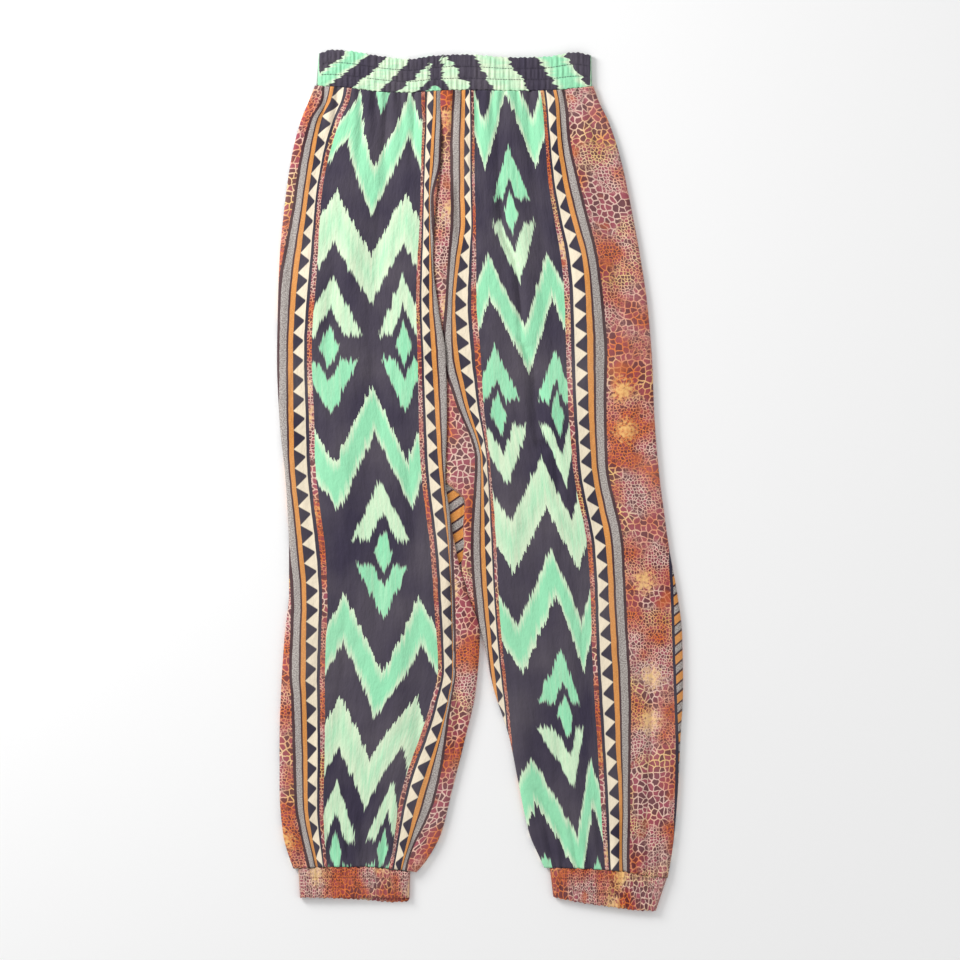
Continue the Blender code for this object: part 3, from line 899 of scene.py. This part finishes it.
def stitch_tree(thread):
    """Geometry Nodes: a small stitch at even steps along every edge path it is given."""
    tree = bpy.data.node_groups.new("stitches", "GeometryNodeTree")
    tree.interface.new_socket("Geometry", in_out="INPUT", socket_type="NodeSocketGeometry")
    for name, default in (("Step", 0.003), ("Length", 0.002), ("Width", 0.0005)):
        socket = tree.interface.new_socket(name, in_out="INPUT", socket_type="NodeSocketFloat")
        socket.default_value = default
    tree.interface.new_socket("Geometry", in_out="OUTPUT", socket_type="NodeSocketGeometry")

    def add(kind, **settings):
        node = tree.nodes.new(kind)
        for name, value in settings.items():
            setattr(node, name, value)
        return node

    given, result = add("NodeGroupInput"), add("NodeGroupOutput")
    curve = add("GeometryNodeMeshToCurve")
    points = add("GeometryNodeCurveToPoints", mode="LENGTH")
    size = add("ShaderNodeCombineXYZ")
    stitch = add("GeometryNodeMeshCube")
    place = add("GeometryNodeInstanceOnPoints")
    real = add("GeometryNodeRealizeInstances")
    paint = add("GeometryNodeSetMaterial")
    paint.inputs["Material"].default_value = thread
    link = tree.links.new
    link(given.outputs["Geometry"], curve.inputs["Mesh"])
    link(curve.outputs["Curve"], points.inputs["Curve"])
    link(given.outputs["Step"], points.inputs["Length"])
    link(given.outputs["Width"], size.inputs["X"])
    link(given.outputs["Width"], size.inputs["Y"])
    link(given.outputs["Length"], size.inputs["Z"])
    link(size.outputs[0], stitch.inputs["Size"])
    link(points.outputs["Points"], place.inputs["Points"])
    link(points.outputs["Rotation"], place.inputs["Rotation"])
    link(stitch.outputs["Mesh"], place.inputs["Instance"])
    link(place.outputs["Instances"], real.inputs["Geometry"])
    link(real.outputs["Geometry"], paint.inputs["Geometry"])
    link(paint.outputs["Geometry"], result.inputs["Geometry"])
    return tree


def stitch_rows(name, edges, ends, thread, step):
    """Two rows of stitches along a band's front."""
    points, lines = [], []
    for t in (1 / 3, 2 / 3):
        right = ends.right_upper + t * (ends.right_lower - ends.right_upper) + BAND_RISE / 2
        left = ends.left_upper + t * (ends.left_lower - ends.left_upper) - BAND_RISE / 2
        share = np.linspace(0.01, 0.99, 90)
        x = right + share * (left - right)
        upper, lower = column(edges, "upper", share, "share"), column(edges, "lower", share, "share")
        drop = upper + t * (lower - upper)
        first = len(points)
        points += list(world(x, drop, np.full_like(x, BAND_RISE + 0.35)))
        lines += [(first + i, first + i + 1) for i in range(len(x) - 1)]
    mesh = bpy.data.meshes.new(name)
    mesh.from_pydata(points, lines, [])
    paths = bpy.data.objects.new(name + "_paths", mesh)
    bpy.context.scene.collection.objects.link(paths)
    modifier = paths.modifiers.new("stitches", "NODES")
    modifier.node_group = stitch_tree(thread)
    ids = {s.name: s.identifier for s in modifier.node_group.interface.items_tree if s.in_out == "INPUT"}
    modifier[ids["Step"]] = step * MM
    modifier[ids["Length"]] = step * 0.62 * MM
    modifier[ids["Width"]] = 0.5 * MM
    evaluated = paths.evaluated_get(bpy.context.evaluated_depsgraph_get())
    result = bpy.data.objects.new(name, bpy.data.meshes.new_from_object(evaluated))
    bpy.context.scene.collection.objects.link(result)
    bpy.data.objects.remove(paths)
    return result


SENSOR = 36  # width of the camera's sensor, in millimetres

# ---- the add-on ----------------------------------------------------------------------------------------


class PantsSettings(bpy.types.PropertyGroup):
    """Sizes that the pieces share."""

    gather_pitch: bpy.props.FloatProperty(
        name="Gather pitch",
        description="Distance between puckers on the bands",
        default=0.0056,
        unit="LENGTH",
    )
    stitch_step: bpy.props.FloatProperty(
        name="Stitch step",
        description="Distance between stitches on the bands",
        default=0.0031,
        unit="LENGTH",
    )
    waist_gather: bpy.props.FloatProperty(
        name="Waist gather", description="Width of the waistband as a share of its cloth's", default=0.57
    )
    floor_size: bpy.props.FloatProperty(
        name="Floor size", description="Side of the floor", default=14.0, unit="LENGTH"
    )
    camera_height: bpy.props.FloatProperty(
        name="Camera height", description="Height of the camera over the floor", default=6.0, unit="LENGTH"
    )
    view_height: bpy.props.FloatProperty(
        name="View height", description="Length of floor that fills the picture", default=1.115, unit="LENGTH"
    )


def material(name, all_leopard=False):
    return bpy.data.materials.get(name) or printed_cloth(name, all_leopard)


def put(piece, node, look):
    """Rides on the pants in place of a solid, in its own material."""
    piece.data.materials.append(look)
    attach(piece, "root")
    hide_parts(node)


class PANTS_OT_fronts(bpy.types.Operator):
    """Make the two front panels"""

    bl_idname = "pants.fronts"
    bl_label = "Front panels"

    def execute(self, context):
        for leg in ("right", "left"):
            piece = front_panel(leg)
            put(piece, f"{leg}_front", material("printed_viscose"))
        return {"FINISHED"}


class PANTS_OT_backs(bpy.types.Operator):
    """Make the two back panels"""

    bl_idname = "pants.backs"
    bl_label = "Back panels"

    def execute(self, context):
        for leg in ("right", "left"):
            piece = back_panel(leg)
            put(piece, f"{leg}_back", material("printed_viscose"))
        return {"FINISHED"}


class PANTS_OT_waistband(bpy.types.Operator):
    """Make the gathered waistband and its stitches"""

    bl_idname = "pants.waistband"
    bl_label = "Waistband"

    def execute(self, context):
        settings = context.scene.pants

        def places(x, drop, face):
            from_dome = x - WAIST_MIRROR
            across = np.clip(drop - 6, 0, 60)
            gather = np.where(from_dome < 0, settings.waist_gather - 0.07 + 0.0016 * across, 0.64)
            along = 402 - np.abs(from_dome) / gather
            right_part = smooth(-12, 17, from_dome)
            across = across * (1 - 0.42 * right_part) + 13 * right_part
            return across, along + (1 - face) * 260

        piece = band("waistband_cloth", WAIST_EDGES, WAIST_ENDS, settings.gather_pitch / MM, 5, 330, places)
        put(piece, "waistband", material("printed_viscose"))
        thread = plain("dark_thread", tint(46, 40, 56), 0.7)
        step = settings.stitch_step / MM
        stitches = stitch_rows("waistband_stitches", WAIST_EDGES, WAIST_ENDS, thread, step)
        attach(stitches, "root")
        return {"FINISHED"}


class PANTS_OT_cuffs(bpy.types.Operator):
    """Make the two gathered cuffs and their stitches"""

    bl_idname = "pants.cuffs"
    bl_label = "Cuffs"

    def execute(self, context):
        settings = context.scene.pants
        thread = plain("russet_thread", tint(122, 62, 50), 0.7)
        look = material("printed_viscose_spots", True)
        for leg, edges, ends, shift in (
            ("right", RIGHT_CUFF_EDGES, RIGHT_CUFF_ENDS, 140),
            ("left", LEFT_CUFF_EDGES, LEFT_CUFF_ENDS, 560),
        ):

            def places(x, drop, face):
                return (x + shift) / CUFF_GATHER + (1 - face) * 90, drop + shift

            piece = band(f"{leg}_cuff_cloth", edges, ends, settings.gather_pitch / MM, shift, 180, places)
            put(piece, f"{leg}_cuff", look)
            name = f"{leg}_cuff_stitches"
            stitches = stitch_rows(name, edges, ends, thread, settings.stitch_step / MM)
            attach(stitches, "root")
        return {"FINISHED"}


class PANTS_OT_stage(bpy.types.Operator):
    """Make the floor, the lights and the camera"""

    bl_idname = "pants.stage"
    bl_label = "Stage"

    def execute(self, context):
        settings = context.scene.pants
        half = settings.floor_size / 2
        mesh = bpy.data.meshes.new("floor")
        corners = [(-half, -half, 0), (half, -half, 0), (half, half, 0), (-half, half, 0)]
        mesh.from_pydata(corners, [], [(0, 1, 2, 3)])
        floor = bpy.data.objects.new("floor", mesh)
        floor.location.z = -0.0004
        context.scene.collection.objects.link(floor)
        floor.data.materials.append(plain("floor_white", (0.9, 0.9, 0.9, 1), 0.9))
        world_light = bpy.data.worlds.new("studio")
        world_light.use_nodes = True
        world_light.node_tree.nodes["Background"].inputs["Color"].default_value = (1, 1, 1, 1)
        world_light.node_tree.nodes["Background"].inputs["Strength"].default_value = 0.6
        context.scene.world = world_light
        for name, place, size, power in (
            ("key", (-1.7, 1.3, 1.1), 1.0, 52.0),
            ("fill", (1.9, -0.6, 1.7), 2.0, 9.0),
        ):
            light = bpy.data.lights.new(name, "AREA")
            light.size = size
            light.energy = power
            lamp = bpy.data.objects.new(name, light)
            context.scene.collection.objects.link(lamp)
            lamp.location = place
            across = math.atan2(place[1], place[0])
            tilt = math.atan2(math.hypot(place[0], place[1]), place[2])
            lamp.rotation_euler = (0, tilt, across)
        camera_data = bpy.data.cameras.new("camera")
        camera_data.sensor_width = SENSOR
        camera_data.lens = SENSOR * settings.camera_height / settings.view_height
        camera = bpy.data.objects.new("camera", camera_data)
        camera.location = (0, 0, settings.camera_height)
        context.scene.collection.objects.link(camera)
        context.scene.camera = camera
        context.scene.view_settings.view_transform = "Standard"
        return {"FINISHED"}


class PANTS_PT_panel(bpy.types.Panel):
    """Buttons for each group of pieces"""

    bl_label = "Harem pants"
    bl_space_type = "VIEW_3D"
    bl_region_type = "UI"
    bl_category = "Pants"

    def draw(self, context):
        settings = context.scene.pants
        for name in settings.__annotations__:
            self.layout.prop(settings, name)
        for operator in OPERATORS:
            self.layout.operator(operator.bl_idname)


OPERATORS = (PANTS_OT_backs, PANTS_OT_fronts, PANTS_OT_waistband, PANTS_OT_cuffs, PANTS_OT_stage)
CLASSES = (PantsSettings, *OPERATORS, PANTS_PT_panel)


def register():
    for item in CLASSES:
        bpy.utils.register_class(item)
    bpy.types.Scene.pants = bpy.props.PointerProperty(type=PantsSettings)


def unregister():
    del bpy.types.Scene.pants
    for item in reversed(CLASSES):
        bpy.utils.unregister_class(item)


def main():
    register()
    bpy.ops.pants.backs()
    bpy.ops.pants.fronts()
    bpy.ops.pants.waistband()
    bpy.ops.pants.cuffs()
    bpy.ops.pants.stage()


if __name__ == "__main__":
    main()
